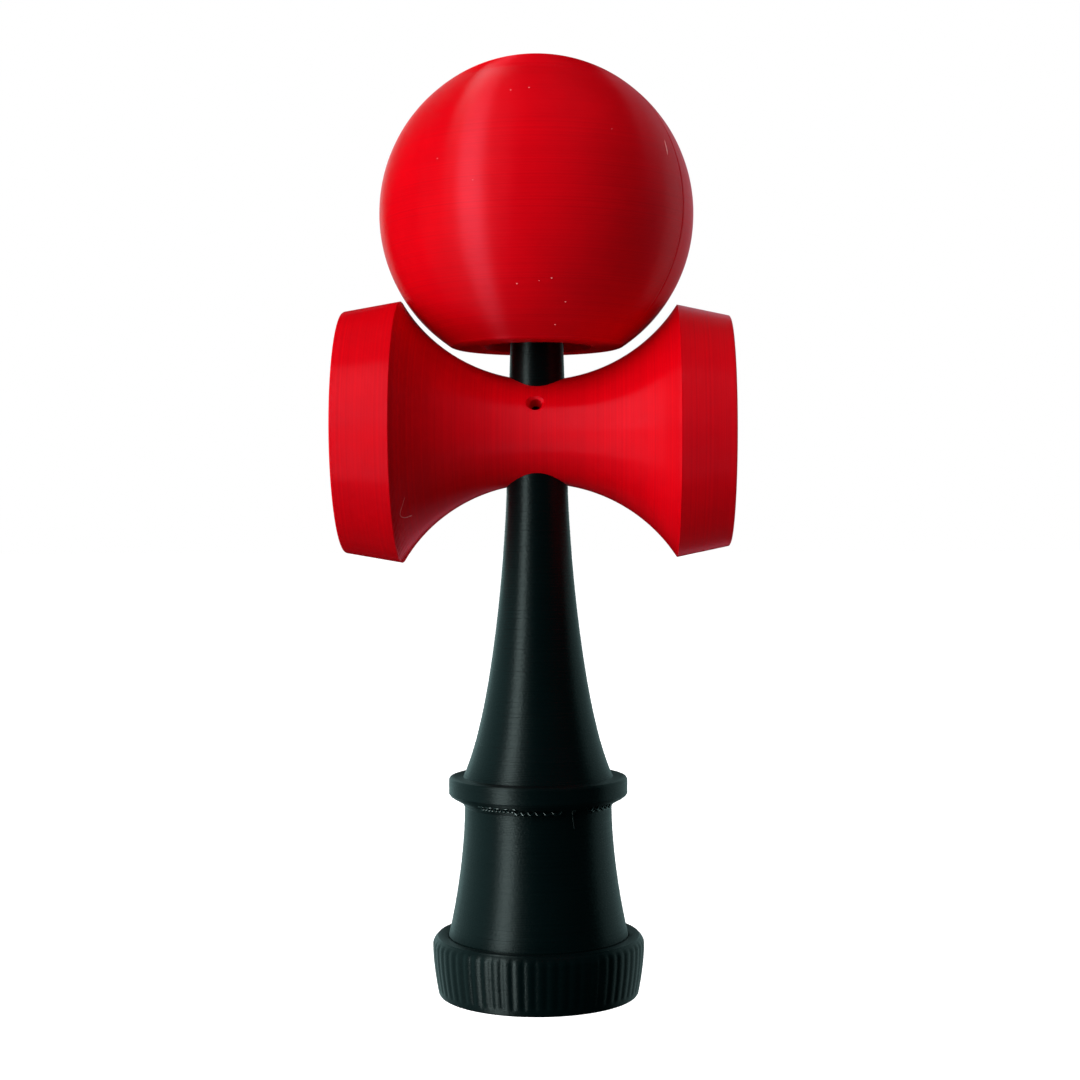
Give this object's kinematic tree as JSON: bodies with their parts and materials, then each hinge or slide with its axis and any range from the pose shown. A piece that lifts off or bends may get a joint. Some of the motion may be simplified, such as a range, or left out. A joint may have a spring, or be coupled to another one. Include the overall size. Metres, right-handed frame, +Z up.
{
  "type": "kendama",
  "caption": "Cup-and-ball skill toy: a spiked handle on a screw-on grooved base cup, a sliding crosspiece with two cups, and a holed ball resting on the spike.",
  "frame": {"origin": "centre of the base cup's rim, on the surface that the kendama stands on", "axes": "+Z up the handle to the spike and the ball; X along the crosspiece, big cup at -X and small cup at +X; the front, with the crosspiece's string hole, is -Y"},
  "size_m": [0.0734, 0.06, 0.1786],
  "materials": {
    "handle_plastic": "near-black green printed plastic, satin, with fine level layer lines",
    "base_cup_plastic": "near-black green printed plastic, satin, with upright grip flutes",
    "crosspiece_plastic": "red printed plastic, satin, with fine layer lines across the length",
    "ball_plastic": "red printed plastic, satin, with fine level layer lines"
  },
  "bodies": {
    "handle": {"handle": "handle_plastic"},
    "base_cup": {"base_cup": "base_cup_plastic"},
    "crosspiece": {"crosspiece": "crosspiece_plastic"},
    "ball": {"ball": "ball_plastic"}
  },
  "joints": [
    {"name": "crosspiece_lift", "type": "slide", "parent": "handle", "child": "crosspiece", "axis": [0, 0, 1], "range_m": [0, 0.085]},
    {"name": "ball_lift", "type": "slide", "parent": "crosspiece", "child": "ball", "axis": [0, 0, 1], "range_m": [0, 0.05]},
    {"name": "base_cup_drop", "type": "slide", "parent": "handle", "child": "base_cup", "axis": [0, 0, -1], "range_m": [0, 0.02]}
  ]
}
